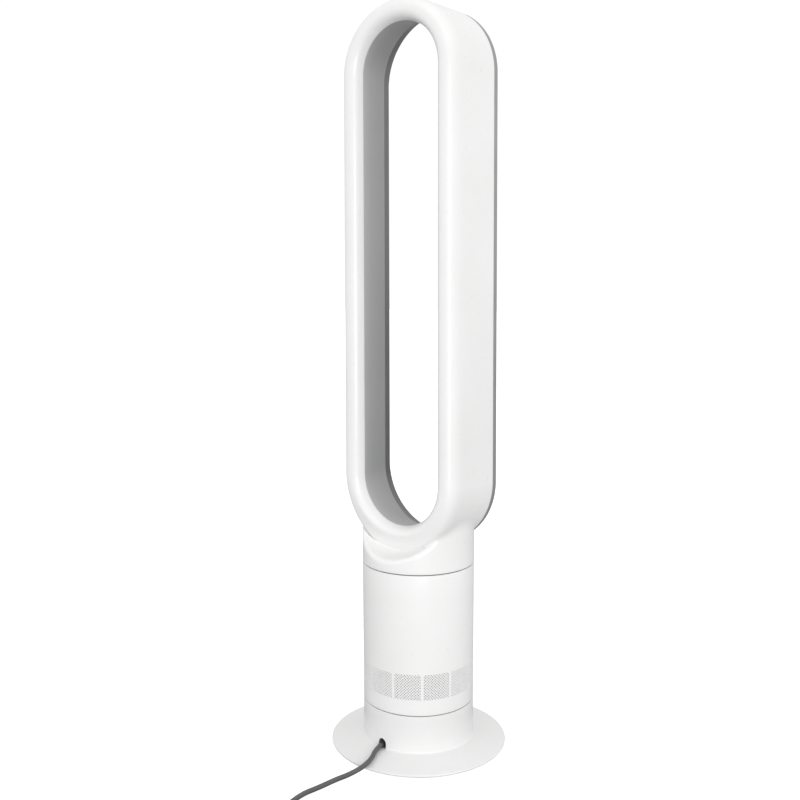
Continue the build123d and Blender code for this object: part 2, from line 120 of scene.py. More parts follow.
def ramp(nt, fac, stops):
    r = nt.nodes.new("ShaderNodeValToRGB")
    e = r.color_ramp.elements
    while len(e) < len(stops):
        e.new(0.5)
    for k, (pos, col) in enumerate(stops):
        e[k].position = pos
        e[k].color = (*col, 1.0) if len(col) == 3 else col
    nt.links.new(fac, r.inputs["Fac"])
    return r.outputs["Color"]


def bump(nt, p, height, strength, dist):
    b = nt.nodes.new("ShaderNodeBump")
    b.inputs["Strength"].default_value = strength
    b.inputs["Distance"].default_value = dist
    nt.links.new(height, b.inputs["Height"])
    nt.links.new(b.outputs["Normal"], p.inputs["Normal"])


def math_node(nt, op, a, b=None):
    m = nt.nodes.new("ShaderNodeMath")
    m.operation = op
    for k, v in enumerate((a, b)):
        if v is None:
            continue
        if isinstance(v, (int, float)):
            m.inputs[k].default_value = v
        else:
            nt.links.new(v, m.inputs[k])
    return m.outputs[0]


def grey(v):
    return (v, v, v)


def moulded(name, lo, hi, r_lo, r_hi, grain=900.0, depth=0.00001, cloud=9.0, spec=0.5, metal=0.0, coat=0.0, coat_r=0.1):
    """Moulded plastic or paint: cloudy tone, fine grain in the gloss, a shallow orange peel."""
    m, nt, p = new_mat(name)
    v = coords(nt)
    nt.links.new(ramp(nt, noise(nt, v, cloud, 4.0, 0.55), [(0.3, lo), (0.7, hi)]), p.inputs["Base Color"])
    nt.links.new(ramp(nt, noise(nt, v, grain * 0.35, 3.0, 0.6), [(0.25, grey(r_lo)), (0.75, grey(r_hi))]), p.inputs["Roughness"])
    bump(nt, p, noise(nt, v, grain, 2.0, 0.5), 0.35, depth)
    p.inputs["Specular IOR Level"].default_value = spec
    p.inputs["Metallic"].default_value = metal
    if coat:
        p.inputs["Coat Weight"].default_value = coat
        p.inputs["Coat Roughness"].default_value = coat_r
    return m


MAT = {}
MAT["white"] = moulded("white_gloss", (0.83, 0.83, 0.825), (0.86, 0.86, 0.858), 0.26, 0.36, 420.0, 0.000006)
# darker copy of the casing white for the foot: painted shade
MAT["white_foot_shaded"] = moulded("white_foot_shaded", (0.785, 0.785, 0.781), (0.81, 0.81, 0.808), 0.28, 0.38, 420.0, 0.000006)
# lighter copy of the casing white for the perforated panels: painted light
MAT["white_mesh_lit"] = moulded("white_mesh_lit", (0.84, 0.84, 0.837), (0.87, 0.87, 0.868), 0.38, 0.5, 700.0, 0.000004)
MAT["white_in"] = moulded("white_inside", (0.62, 0.62, 0.615), (0.70, 0.70, 0.695), 0.45, 0.6, 500.0, 0.00002)
MAT["silver"] = moulded("silver_paint", (0.27, 0.275, 0.28), (0.31, 0.315, 0.32), 0.30, 0.42, 2600.0, 0.000006, 14.0, 0.5, 0.35)
MAT["grey_inner"] = moulded("grey_satin", (0.93, 0.935, 0.94), (1.0, 1.0, 1.0), 0.36, 0.48, 1800.0, 0.000008, 12.0, 0.5, 0.15)
# near-black colour for the flared front of the inner wall: painted shade, not the casing's own colour
MAT["painted_shade_band"] = moulded("grey_band_painted_shade", (0.068, 0.070, 0.072), (0.084, 0.086, 0.088), 0.30, 0.42, 1800.0, 0.000008, 12.0, 0.5, 0.2)


def paint_depth_shade(m, stops):
    """Multiplies a finish by a painted shade that runs along the depth of the object: darker towards the front edge,
    lighter towards the rear.
    """
    nt = m.node_tree
    p = next(n for n in nt.nodes if n.bl_idname == "ShaderNodeBsdfPrincipled")
    src = p.inputs["Base Color"].links[0].from_socket
    sep = nt.nodes.new("ShaderNodeSeparateXYZ")
    nt.links.new(coords(nt), sep.inputs[0])
    t = math_node(nt, "MULTIPLY_ADD", sep.outputs["Y"], 1.0 / 0.11)
    t.node.inputs[2].default_value = 0.055 / 0.11
    tone = ramp(nt, t, [((y + 0.055) / 0.11, grey(v)) for y, v in stops])
    mix = nt.nodes.new("ShaderNodeMix")
    mix.data_type = "RGBA"
    mix.blend_type = "MULTIPLY"
    mix.inputs[0].default_value = 1.0
    nt.links.new(src, mix.inputs[6])
    nt.links.new(tone, mix.inputs[7])
    nt.links.new(mix.outputs[2], p.inputs["Base Color"])


# the inner wall's grey is its own colour; its darkening towards the front is painted shade
paint_depth_shade(MAT["grey_inner"], [(-0.033, 0.325), (-0.012, 0.345), (0.010, 0.39), (0.026, 0.46), (0.036, 0.575)])
MAT["black"] = moulded("black_moulded", (0.010, 0.010, 0.011), (0.022, 0.022, 0.023), 0.42, 0.6, 1400.0, 0.00002, 60.0)
MAT["rubber"] = moulded("rubber", (0.018, 0.018, 0.019), (0.034, 0.034, 0.035), 0.7, 0.85, 1100.0, 0.00003, 40.0, 0.3)
MAT["inner"] = moulded("inner_plastic", (0.10, 0.102, 0.105), (0.14, 0.142, 0.146), 0.5, 0.65, 600.0, 0.00002, 20.0)
MAT["window"] = moulded("dark_window", (0.006, 0.006, 0.007), (0.012, 0.012, 0.014), 0.06, 0.12, 500.0, 0.000002, 30.0, 0.5, 0.0, 1.0, 0.04)


def brushed(name, lo, hi, scale, rough=0.3):
    m, nt, p = new_mat(name)
    v = coords(nt, scale)
    n = noise(nt, v, 60.0, 4.0, 0.6)
    nt.links.new(ramp(nt, n, [(0.3, lo), (0.7, hi)]), p.inputs["Base Color"])
    nt.links.new(ramp(nt, n, [(0.2, grey(rough - 0.08)), (0.8, grey(rough + 0.1))]), p.inputs["Roughness"])
    bump(nt, p, n, 0.3, 0.00002)
    p.inputs["Metallic"].default_value = 1.0
    return m


MAT["steel"] = brushed("turned_steel", (0.42, 0.42, 0.43), (0.62, 0.62, 0.63), (1.0, 1.0, 30.0))
MAT["copper"] = brushed("wound_copper", (0.45, 0.17, 0.08), (0.72, 0.33, 0.18), (1.0, 1.0, 40.0), 0.35)


def board_mat():
    m, nt, p = new_mat("circuit_board")
    v = coords(nt)
    b = nt.nodes.new("ShaderNodeTexBrick")
    b.inputs["Scale"].default_value = 320.0
    b.inputs["Mortar Size"].default_value = 0.12
    b.inputs["Color1"].default_value = (0.010, 0.055, 0.028, 1)
    b.inputs["Color2"].default_value = (0.014, 0.070, 0.036, 1)
    b.inputs["Mortar"].default_value = (0.05, 0.14, 0.07, 1)
    nt.links.new(v, b.inputs["Vector"])
    nt.links.new(b.outputs["Color"], p.inputs["Base Color"])
    nt.links.new(ramp(nt, noise(nt, v, 900.0), [(0.3, grey(0.3)), (0.7, grey(0.45))]), p.inputs["Roughness"])
    bump(nt, p, b.outputs["Fac"], 0.4, 0.00003)
    return m


def foam_mat():
    m, nt, p = new_mat("open_foam")
    v = coords(nt)
    w = nt.nodes.new("ShaderNodeTexVoronoi")
    w.inputs["Scale"].default_value = 1500.0
    nt.links.new(v, w.inputs["Vector"])
    nt.links.new(ramp(nt, w.outputs["Distance"], [(0.0, grey(0.30)), (0.6, grey(0.42))]), p.inputs["Base Color"])
    nt.links.new(ramp(nt, w.outputs["Distance"], [(0.0, grey(0.85)), (0.6, grey(0.95))]), p.inputs["Roughness"])
    bump(nt, p, w.outputs["Distance"], 0.6, 0.0004)
    return m


def cord_mat():
    m, nt, p = new_mat("cord_sheath")
    v = coords(nt)
    nt.links.new(ramp(nt, noise(nt, v, 35.0, 4.0, 0.6), [(0.3, grey(0.088)), (0.7, grey(0.112))]), p.inputs["Base Color"])
    nt.links.new(ramp(nt, noise(nt, v, 420.0, 3.0, 0.6), [(0.3, grey(0.42)), (0.7, grey(0.56))]), p.inputs["Roughness"])
    bump(nt, p, noise(nt, v, 1300.0, 3.0, 0.6), 0.5, 0.00004)
    return m


MAT["board"], MAT["foam"], MAT["cord"] = board_mat(), foam_mat(), cord_mat()

BY_SLOT = {"white_casing": "white", "silver_casing": "silver", "black_plastic": "black", "steel": "steel", "rubber": "rubber",
           "inner_plastic": "inner", "cord_sheath": "cord", "copper": "copper", "dark_window": "window",
           "circuit_board": "board", "foam": "foam"}
for sub in frame["record"]["subparts"]:
    ob = NODES[sub["node"]]
    mat = MAT[BY_SLOT[sub["material_slot"]]]
    if not ob.material_slots:
        ob.data.materials.append(mat)
    for sl in ob.material_slots:
        sl.material = mat


# ------------------------------------------------------------------ mesh helpers
def make(name, verts, faces, mats, body, slot, stands_for=(), angle=35.0, mat_index=None, normals=None):
    """A mesh object in the row frame; verts in millimetres."""
    me = bpy.data.meshes.new(name)
    me.from_pydata([(x * MM, y * MM, z * MM) for x, y, z in verts], [], [tuple(int(i) for i in f) for f in faces])
    me.validate()
    return finish_piece(name, me, mats, body, stands_for, angle, mat_index, normals)


def finish_piece(name, me, mats, body, stands_for=(), angle=35.0, mat_index=None, normals=None):
    for m in mats:
        me.materials.append(MAT[m])
    if mat_index is not None:
        me.polygons.foreach_set("material_index", np.asarray(mat_index, np.int32))
    me.polygons.foreach_set("use_smooth", np.ones(len(me.polygons), bool))
    if normals is None:
        me.set_sharp_from_angle(angle=math.radians(angle))
    else:
        me.normals_split_custom_set_from_vertices([tuple(n) for n in normals])
    me.update()
    ob = bpy.data.objects.new(name, me)
    scene.collection.objects.link(ob)
    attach(ob, body)
    if stands_for:
        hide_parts(*stands_for)
    return ob


def recalc(me):
    bm = bmesh.new()
    bm.from_mesh(me)
    bmesh.ops.recalc_face_normals(bm, faces=bm.faces)
    bm.to_mesh(me)
    bm.free()


def lathe(profile, seg=256, closed=True):
    """Points (radius, z) turned about Z; gives vertices and quads."""
    n = len(profile)
    verts = [(r * math.cos(a), r * math.sin(a), z) for a in (2 * math.pi * i / seg for i in range(seg)) for r, z in profile]
    faces = []
    for i in range(seg):
        i2 = (i + 1) % seg
        for j in range(n if closed else n - 1):
            j2 = (j + 1) % n
            faces.append((i * n + j, i2 * n + j, i2 * n + j2, i * n + j2))
    return verts, faces


def arc(cx, cz, r, a0, a1, k):
    return [(cx + r * math.cos(math.radians(a0 + (a1 - a0) * i / k)), cz + r * math.sin(math.radians(a0 + (a1 - a0) * i / k))) for i in range(k + 1)]


def through(p, q, s, k):
    """Points on the circle through p, q and s, from p to s, k steps."""
    (ax, ay), (bx, by), (cx, cy) = p, q, s
    d = 2 * (ax * (by - cy) + bx * (cy - ay) + cx * (ay - by))
    ux = ((ax * ax + ay * ay) * (by - cy) + (bx * bx + by * by) * (cy - ay) + (cx * cx + cy * cy) * (ay - by)) / d
    uy = ((ax * ax + ay * ay) * (cx - bx) + (bx * bx + by * by) * (ax - cx) + (cx * cx + cy * cy) * (bx - ax)) / d
    r = math.hypot(ax - ux, ay - uy)
    a, b, c = (math.atan2(y - uy, x - ux) for x, y in (p, q, s))
    while b - a > math.pi:
        b -= 2 * math.pi
    while b - a < -math.pi:
        b += 2 * math.pi
    while c - b > math.pi:
        c -= 2 * math.pi
    while c - b < -math.pi:
        c += 2 * math.pi
    return [(ux + r * math.cos(a + (c - a) * i / k), uy + r * math.sin(a + (c - a) * i / k)) for i in range(k + 1)]


def plain_mesh(name, verts, faces):
    me = bpy.data.meshes.new(name)
    me.from_pydata([(x * MM, y * MM, z * MM) for x, y, z in verts], [], [tuple(int(i) for i in f) for f in faces])
    me.validate()
    recalc(me)
    return me


def cut(me, cutters):
    """me less each cutter mesh, with the exact boolean."""
    ob = bpy.data.objects.new("cut_base", me)
    scene.collection.objects.link(ob)
    tools = []
    for k, c in enumerate(cutters):
        t = bpy.data.objects.new("cut_tool_%d" % k, c)
        scene.collection.objects.link(t)
        tools.append(t)
        mod = ob.modifiers.new("b%d" % k, "BOOLEAN")
        mod.operation = "DIFFERENCE"
        mod.solver = "EXACT"
        mod.object = t
    dg = bpy.context.evaluated_depsgraph_get()
    out = bpy.data.meshes.new_from_object(ob.evaluated_get(dg))
    for o in [ob] + tools:
        bpy.data.objects.remove(o)
    return out


def prism_y(outline, y0, y1):
    """Closed (x, z) outline carried from y0 to y1."""
    n = len(outline)
    v = [(x, y0, z) for x, z in outline] + [(x, y1, z) for x, z in outline]
    f = [tuple(range(n)), tuple(range(2 * n - 1, n - 1, -1))] + [(i, (i + 1) % n, n + (i + 1) % n, n + i) for i in range(n)]
    return v, f


# ------------------------------------------------------------------ foot and neck
rim = [(118.6, 1.2)] + through((118.6, 1.2), (119.95, 1.75), (FOOT_R, 3.0), 8)[1:] + through((FOOT_R, 3.0), (120.1, 4.1), (118.9, RIM_H), 8)[1:]
slope = [(118.9 + (FLANGE_R_IN - 118.9) * t, RIM_H + (FLANGE_Z_IN - RIM_H) * t) for t in (0.04, 0.2, 0.4, 0.6, 0.8, 0.95)]
fil = through((FLANGE_R_IN, FLANGE_Z_IN), (76.7, 12.15), (NECK_R, 13.9), 12)
neck = [(NECK_R, 18), (NECK_R, 26), (NECK_R, 36), (NECK_R, 46), (NECK_R, 54), (NECK_R - 0.03, NECK_TOP - 1.0)]
lip = [(NECK_R - 0.1, NECK_TOP - 0.4), (NECK_R - 0.4, NECK_TOP - 0.08), (NECK_R - 0.9, NECK_TOP), (73.4, NECK_TOP)]
inner = [(73.4, 40), (73.4, 9.9), (79.0, 9.0), (113.2, 3.7), (113.2, 1.2)]
v, f = lathe(rim + slope + fil + neck + lip + inner, 288)
foot_me = plain_mesh("foot_shell_mesh", v, f)
zc = NOTCH_HI - NOTCH_W / 2
notch = [(NOTCH_X - NOTCH_W / 2, NOTCH_LO), (NOTCH_X + NOTCH_W / 2, NOTCH_LO)] + [(x, z) for x, z in arc(NOTCH_X, zc, NOTCH_W / 2, 0, 180, 24)]
btn_hole = [(8.0 * math.cos(2 * math.pi * i / 48), BUTTON_Z + 8.0 * math.sin(2 * math.pi * i / 48)) for i in range(48)]
v1, f1 = prism_y(notch, 60, 95)
v2, f2 = prism_y(btn_hole, -90, -60)
foot_me = cut(foot_me, [plain_mesh("t1", v1, f1), plain_mesh("t2", v2, f2)])
foot_me.name = "foot_casing"
foot = finish_piece("foot_casing", foot_me, ["white_foot_shaded"], "base", ("foot_shell",), 30.0)


# ------------------------------------------------------------------ turning body
def body_r(z):
    return BODY_R_BOT + (BODY_R_TOP - BODY_R_BOT) * (z - HEAD_BOT) / (BODY_TOP - HEAD_BOT)


ROWS, HOLE_R = 18, 0.8
ROW_H = (BAND_HI - BAND_LO - 1.1) / ROWS
PITCH = 2 * math.pi / N_PANEL


def rib_half(z):
    return RIB_W / 2 / body_r(z)


def body_mesh():
    """The cover: full rings above and below the band of panels, and only ribs between the panels."""
    per = 24                       # columns over one panel
    cols = []                      # angles round the body; the ribs' edges are among them
    ph = math.radians(RIB_PHASE)
    half = RIB_W / 2 / body_r(100)
    for k in range(N_PANEL):
        a = ph + PITCH * k
        cols += [a - half, a, a + half]
        step = (PITCH - 2 * half) / per
        cols += [a + half + step * i for i in range(1, per)]
    n = len(cols)
    rib = {k * (per + 2) + j for k in range(N_PANEL) for j in (0, 1)}
    low = [(-0.9, HEAD_BOT), (-0.4, HEAD_BOT + 0.08), (-0.1, HEAD_BOT + 0.4), (0, HEAD_BOT + 1.0), (0, 70), (0, 77), (0, BAND_LO)]
    high = [(0, BAND_HI)] + [(0, BAND_HI + (BODY_TOP - 1.0 - BAND_HI) * t) for t in (0.03, 0.1, 0.25, 0.5, 0.75, 1.0)] + [(-0.1, BODY_TOP - 0.4), (-0.4, BODY_TOP - 0.08), (-0.9, BODY_TOP)]
    rows = [(body_r(z) + d, z) for d, z in low + high] + [(body_r(BODY_TOP) - WALL, BODY_TOP)]
    back = [(body_r(z) - WALL, z) for z in (BAND_HI, BAND_LO)] + [(body_r(HEAD_BOT) - WALL, HEAD_BOT)]
    prof = rows + back
    m = len(prof)
    jb, jf = len(low) - 1, len(rows)                     # the profile steps that cross the band, outside and inside
    verts = [(r * math.cos(a), r * math.sin(a), z) for a in cols for r, z in prof]
    faces = []
    for i in range(n):
        i2 = (i + 1) % n
        for j in range(m):
            if j in (jb, jf) and i not in rib:
                continue
            j2 = (j + 1) % m
            faces.append((i * m + j, i2 * m + j, i2 * m + j2, i * m + j2))
        if i not in rib:                                  # top and bottom edges of each opening
            faces.append((i * m + jb, i * m + jf + 1, i2 * m + jf + 1, i2 * m + jb))
            faces.append((i * m + jb + 1, i2 * m + jb + 1, i2 * m + jf, i * m + jf))
    for k in range(N_PANEL):                              # the ribs' sides
        for i in (k * (per + 2), k * (per + 2) + 2):
            faces.append((i * m + jb, i * m + jb + 1, i * m + jf, i * m + jf + 1))
    return verts, faces


# the display window's round hole goes through the front
v, f = body_mesh()
body_me = plain_mesh("body_cover_mesh", v, f)
win = [(9.3 * math.cos(2 * math.pi * i / 64), 150 + 9.3 * math.sin(2 * math.pi * i / 64)) for i in range(64)]
v1, f1 = prism_y(win, -90, -60)
body_me = cut(body_me, [plain_mesh("t3", v1, f1)])
body = finish_piece("body_casing", body_me, ["white"], "head", ("body_cover",), 30.0)


def mesh_panels():
    """Fine perforated sheet in each opening: staggered round holes, with real depth."""
    verts, faces = [], []
    index = {}

    def vert(r, a, z):
        key = (round(r, 3), round(a, 6), round(z, 4))
        if key not in index:
            index[key] = len(verts)
            verts.append((r * math.cos(a), r * math.sin(a), z))
        return index[key]

    depth = 0.7
    base = body_r((BAND_LO + BAND_HI) / 2)
    half = RIB_W / 2 / base
    width = (PITCH - 2 * half) * base
    count = int(round(width / 3.7))
    BRICK_W, side = width / count, 0.0
    for k in range(N_PANEL):
        a_mid = math.radians(RIB_PHASE) + PITCH * (k + 0.5)

        def at(u, z, d=0.0):
            return vert(body_r(z) - 0.04 - d, a_mid + u / base, z)

        u0 = -width / 2
        z0 = BAND_LO + (BAND_HI - BAND_LO - ROWS * ROW_H) / 2
        for j in range(ROWS):
            zl, zh = z0 + j * ROW_H, z0 + (j + 1) * ROW_H
            off = (j % 2) * BRICK_W / 2
            n_b = count - (j % 2)
            us = u0 + side + off
            for i in range(n_b):
                ul, um, uh = us + i * BRICK_W, us + (i + 0.5) * BRICK_W, us + (i + 1) * BRICK_W
                zm = (zl + zh) / 2
                frame_pts = [(uh, zm), (uh, zh), (um, zh), (ul, zh), (ul, zm), (ul, zl), (um, zl), (uh, zl)]
                hole = [(um + HOLE_R * math.cos(math.pi / 4 * t), zm + HOLE_R * math.sin(math.pi / 4 * t)) for t in range(8)]
                hole[0], hole[4] = (um + HOLE_R, zm), (um - HOLE_R, zm)
                O = [at(u, z) for u, z in frame_pts]
                I = [at(u, z) for u, z in hole]
                D = [at(u, z, depth) for u, z in hole]
                for t in range(8):
                    t2 = (t + 1) % 8
                    faces.append((O[t], O[t2], I[t2], I[t]))
                    faces.append((I[t], I[t2], D[t2], D[t]))
            # plain ends of the row, up to the opening's edge
            zm = (zl + zh) / 2
            for (ua, ub) in ((u0, us), (us + n_b * BRICK_W, u0 + width)):
                if ub - ua > 0.01:
                    faces.append((at(ua, zl), at(ub, zl), at(ub, zm), at(ub, zh), at(ua, zh), at(ua, zm)))
        # plain strips above and below the holes
        for zl, zh in ((BAND_LO + 0.02, z0), (z0 + ROWS * ROW_H, BAND_HI - 0.02)):
            xs = sorted({round(u0, 6), round(u0 + width, 6)} | {round(u0 + side + BRICK_W / 2 * i, 6) for i in range(2 * count + 1)})
            for ua, ub in zip(xs, xs[1:]):
                if ub - ua > 0.01:
                    faces.append((at(ua, zl), at(ub, zl), at(ub, zh), at(ua, zh)))
        # the sheet's edges run on into the ribs and the cover
        zs = [BAND_LO + 0.02] + [z0 + ROW_H * 0.5 * i for i in range(2 * ROWS + 1)] + [BAND_HI - 0.02]
        for (ua, sgn) in ((u0, -1), (u0 + width, 1)):
            for za, zb in zip(zs, zs[1:]):
                faces.append((at(ua, za), at(ua, zb), at(ua + sgn * 0.3, zb, 0.12), at(ua + sgn * 0.3, za, 0.12)))
    return verts, faces


v, f = mesh_panels()
panels_me = bpy.data.meshes.new("intake_mesh_panels")
panels_me.from_pydata([(x * MM, y * MM, z * MM) for x, y, z in v], [], [tuple(q) for q in f])
panels_me.validate()
recalc(panels_me)
panels = finish_piece("intake_mesh_panels", panels_me, ["white_mesh_lit"], "head", ("intake_grille",), 30.0)


# ------------------------------------------------------------------ the loop
def nose(t, a0, a1, k):
    out = []
    for i in range(k):
        a = math.radians(a0 + (a1 - a0) * i / (k - 1))
        c, s = math.cos(a), math.sin(a)
        rx, ry = NOSE_T / 2 - t, NOSE_RY - t
        out.append((NC + rx * math.copysign(abs(c) ** (2 / NOSE_P), c), YC + ry * math.copysign(abs(s) ** (2 / NOSE_P), s)))
    return out


def even(pts, step):
    """Points along an open line at about even steps; first and last stay."""
    p = np.array(pts, float)
    d = np.r_[0, np.cumsum(np.hypot(*np.diff(p, axis=0).T))]
    k = max(2, int(round(d[-1] / step)) + 1)
    s = np.linspace(0, d[-1], k)
    return [(float(a), float(b)) for a, b in zip(np.interp(s, d, p[:, 0]), np.interp(s, d, p[:, 1]))]


def stations(k_limb, k_arc):
    """Places along the loop's spine: centre height and outward direction."""
    out = []
    for i in range(k_limb):
        out.append((SPINE_LO + (SPINE_HI - SPINE_LO) * i / k_limb, 1.0, 0.0))
    for i in range(k_arc):
        a = math.pi * i / k_arc
        out.append((SPINE_HI, math.cos(a), math.sin(a)))
    for i in range(k_limb):
        out.append((SPINE_HI + (SPINE_LO - SPINE_HI) * i / k_limb, -1.0, 0.0))
    for i in range(k_arc):
        a = math.pi + math.pi * i / k_arc
        out.append((SPINE_LO, math.cos(a), math.sin(a)))
    return out


SAG_FRONT, SAG_NOSE, LIFT_IN, TUCK, CHEEK = 6.5, 6.0, 2.0, 2.6, 5.5


def ease(t):
    t = np.clip(t, 0.0, 1.0)
    return t * t * (3 - 2 * t)


def sag(x, y, z):
    """How far the loop's lower end hangs below a true half circle: under the rear nose, and at the front rim,
    where the rim also widens inwards; and how far forward the nose's underside is tucked."""
    x, y, z = np.asarray(x, float), np.asarray(y, float), np.asarray(z, float)
    n = np.where(z < SPINE_LO, np.hypot(x, z - SPINE_LO), np.abs(x))
    w = np.clip((YC - y) / (YC - YF), 0.0, 1.0)
    low = ease((SPINE_LO + 190.0 - z) / 190.0)
    t = ease((n - NC + 5.0) / (LOOP_N - NC + 5.0))
    down = ease((SPINE_LO - z) / np.maximum(n, 1.0))
    front = (SAG_FRONT + LIFT_IN) * ease((n - 91.0) / 2.2) - LIFT_IN
    turn = np.arcsin(np.clip(np.abs(x) / np.maximum(n, 1.0), 0.0, 1.0))
    cheek = np.where(z < SPINE_LO, CHEEK * np.exp(-((turn - 0.50) / 0.19) ** 2), 0.0)
    return front * w * low + (SAG_NOSE + cheek) * (1 - w) * t * down, TUCK * 4 * t * (1 - t) * (1 - w) * down


def sweep_loop(section, k_limb=20, k_arc=120):
    st = stations(k_limb, k_arc)
    n = len(section)
    verts = np.array([(ux * s, y, z + uz * s) for z, ux, uz in st for s, y in section])
    drop, tuck = sag(verts[:, 0], verts[:, 1], verts[:, 2])
    verts[:, 2] -= drop
    verts[:, 1] -= tuck
    verts = verts.tolist()
    faces = []
    for i in range(len(st)):
        i2 = (i + 1) % len(st)
        for j in range(n):
            j2 = (j + 1) % n
            faces.append((i * n + j, i2 * n + j, i2 * n + j2, i * n + j2))
    return verts, faces, len(st)


outer_nose = even(nose(0, 0, LIP_A, 400), 1.3)
inner_nose = even(nose(WALL, LIP_A - 3, 0, 300), 2.4)
lip_a, lip_b = outer_nose[-1], inner_nose[0]
lip_mid = ((lip_a[0] + lip_b[0]) / 2, (lip_a[1] + lip_b[1]) / 2)
dx, dy = lip_b[0] - lip_a[0], lip_b[1] - lip_a[1]
half_t = math.hypot(dx, dy) / 2
fwd_ = (dy / (2 * half_t), -dx / (2 * half_t))
if fwd_[1] > 0:
    fwd_ = (-fwd_[0], -fwd_[1])
lip_round = []
for i in range(1, 6):
    a = math.pi * i / 6
    lip_round.append((lip_mid[0] - dx / 2 * math.cos(a) + fwd_[0] * half_t * 0.6 * math.sin(a),
                      lip_mid[1] - dy / 2 * math.cos(a) + fwd_[1] * half_t * 0.6 * math.sin(a)))
section_w = [(LOOP_N - 0.35, BAND_Y), (LOOP_N - 0.08, BAND_Y + 0.12), (LOOP_N, BAND_Y + 0.45)] \
    + [(LOOP_N, y) for y in (-40, -30, -18, -5, 8, 18)] + outer_nose + lip_round + inner_nose \
    + [(LOOP_N - WALL, 8), (LOOP_N - WALL, -20), (LOOP_N - WALL, BAND_Y)]
w_verts, w_faces, _ = sweep_loop(section_w)


# the collar, and the soft blend between it and the casing, as the zero surface of one distance field
def d_casing(p):
    x, y, z = p[:, 0], p[:, 1], p[:, 2]
    y0, z0 = y, z
    for _ in range(3):
        drop, tuck = sag(x, y, z)
        y, z = y0 + tuck, z0 + drop
    n = np.where(z < SPINE_LO, np.hypot(x, z - SPINE_LO), np.abs(x))
    flat = n - LOOP_N
    u = np.abs(n - NC) / (NOSE_T / 2)
    w = np.maximum(y - YC, 0.0) / NOSE_RY
    s = (u ** NOSE_P + w ** NOSE_P) ** (1 / NOSE_P) + 1e-9
    gu = (u / s) ** (NOSE_P - 1) / (NOSE_T / 2)
    gw = (w / s) ** (NOSE_P - 1) / NOSE_RY
    curved = (s - 1) / np.maximum(np.hypot(gu, gw), 1e-3)
    return np.where(y > YC, curved, np.where(n > NC, flat, -10.0))


def to_line(py, pz, line):
    """Signed distance to an open line in the (y, z) plane; negative on its right hand side as it runs."""
    best = np.full(len(py), 1e9)
    sign = np.ones(len(py))
    for (ay, az), (by, bz) in zip(line, line[1:]):
        ey, ez = by - ay, bz - az
        t = np.clip(((py - ay) * ey + (pz - az) * ez) / (ey * ey + ez * ez), 0, 1)
        dy_, dz_ = py - (ay + t * ey), pz - (az + t * ez)
        d = np.hypot(dy_, dz_)
        cr = ey * (pz - az) - ez * (py - ay)
        m = d < best - 1e-9
        best = np.where(m, d, best)
        sign = np.where(m, np.sign(cr), sign)
    return best * sign


def smooth_line(pts, per=6):
    """Catmull-Rom through the points."""
    p = [np.array(q, float) for q in pts]
    p = [2 * p[0] - p[1]] + p + [2 * p[-1] - p[-2]]
    out = []
    for i in range(1, len(p) - 2):
        for k in range(per):
            t = k / per
            a, b, c, d = p[i - 1], p[i], p[i + 1], p[i + 2]
            out.append(tuple(0.5 * (2 * b + (c - a) * t + (2 * a - 5 * b + 4 * c - d) * t * t + (3 * b - a - 3 * c + d) * t ** 3)))
    out.append(tuple(p[-2]))
    return out


REAR = smooth_line([(95, 105.6), (86, 104.4), (77, 103.0), (70, 101.8), (62, 100.4), (56, 99.2), (50.5, 97.8), (47.0, 96.4), (45.2, 94.4), (44.4, 91.6), (44.4, 88.0), (44.6, 82.0), (45, 76)])
FRONT = smooth_line([(-42.5, 76), (-42.5, 88.0), (-42.5, 97.0), (-42.7, 99.6), (-43.4, 101.6), (-44.9, 103.0), (-47.2, 103.8), (-51, 104.1), (-62, 104.4), (-77, 106.0), (-86, 107.0), (-95, 108.0)])


def smin(a, b, k):
    h = np.maximum(k - np.abs(a - b), 0.0) / k
    return np.minimum(a, b) - h * h * k * 0.25


def smax(a, b, k):
    return -smin(-a, -b, k)


K_RIM, K_SIDE, K_ROOT = 6.5, 4.5, 2.2


def field(p):
    """Collar joined softly to the casing."""
    y, z = p[:, 1], p[:, 2]
    cyl = np.hypot(p[:, 0], y) - COLLAR_R
    n = np.where(z < SPINE_LO, np.hypot(p[:, 0], z - SPINE_LO), np.abs(p[:, 0]))
    col = smax(cyl, to_line(y, n, REAR), K_RIM)
    col = smax(col, to_line(y, n, FRONT), K_RIM)
    k = np.interp(y, [-44.0, -28.0, 32.0, 43.0], [1.5, K_SIDE, K_SIDE, K_ROOT])
    return smin(d_casing(p), col, k)


def grad(fn, p, h=0.02):
    g = np.empty_like(p)
    for i in range(3):
        e = np.zeros(3)
        e[i] = h
        g[:, i] = (fn(p + e) - fn(p - e)) / (2 * h)
    return g


